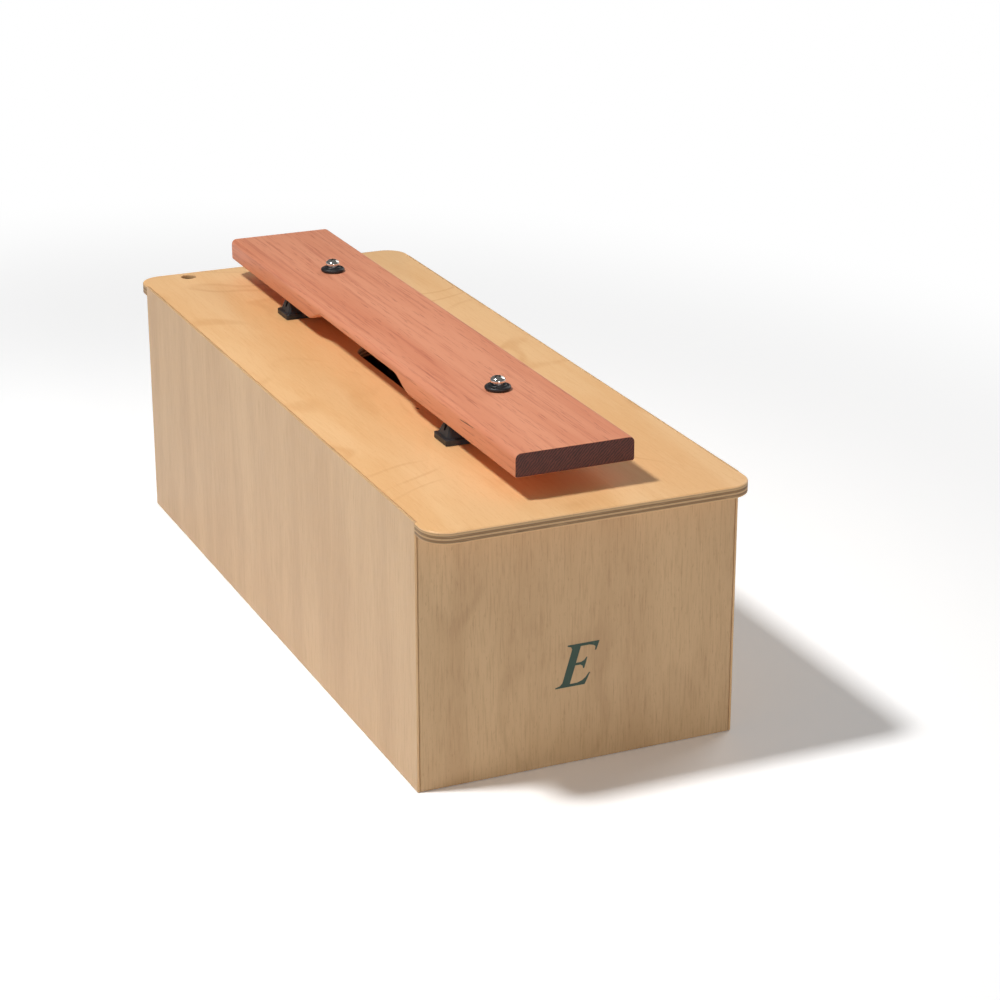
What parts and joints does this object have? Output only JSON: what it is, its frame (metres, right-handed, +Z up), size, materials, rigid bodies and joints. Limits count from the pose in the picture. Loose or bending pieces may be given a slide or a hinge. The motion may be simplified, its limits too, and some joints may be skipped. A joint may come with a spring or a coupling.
{
  "type": "contrabass bar",
  "caption": "Single tuned wooden sound bar floating on rubber rests over its own plywood resonator box with a slotted lid.",
  "frame": {"origin": "on the floor under the middle of the box's outline", "axes": "+Z up, +Y along the box away from the marked front end, +X across it"},
  "size_m": [0.22, 0.6, 0.2198],
  "materials": {
    "birch_lid": "clear satin lacquer",
    "birch_wall": "clear satin lacquer",
    "pine": "bare",
    "padouk": "oiled",
    "rubber_black": "moulded, matt",
    "steel_polished": "nickel plated, polished",
    "zinc_plated": "zinc plated"
  },
  "bodies": {
    "resonator": {"side_panel_left": "birch_wall", "side_panel_right": "birch_wall", "end_panel_front": "birch_wall", "end_panel_rear": "birch_wall", "bottom_panel": "birch_wall", "lid": "birch_lid", "corner_block_front_left": "pine", "corner_block_front_right": "pine", "corner_block_rear_left": "pine", "corner_block_rear_right": "pine", "lid_rail_front": "pine", "lid_rail_rear": "pine", "insert_nut_front": "zinc_plated", "insert_nut_rear": "zinc_plated", "bar_support_front": "rubber_black", "bar_support_rear": "rubber_black", "spacer_sleeve_front": "zinc_plated", "spacer_sleeve_rear": "zinc_plated", "bar_screw_front": "steel_polished", "bar_screw_rear": "steel_polished"},
    "bar": {"sound_bar": "padouk", "bar_bush_front": "rubber_black", "bar_bush_rear": "rubber_black"}
  },
  "joints": [
    {"name": "bar_float", "type": "slide", "parent": "resonator", "child": "bar", "axis": [0, 0, 1], "range_m": [0, 0.0012]}
  ]
}
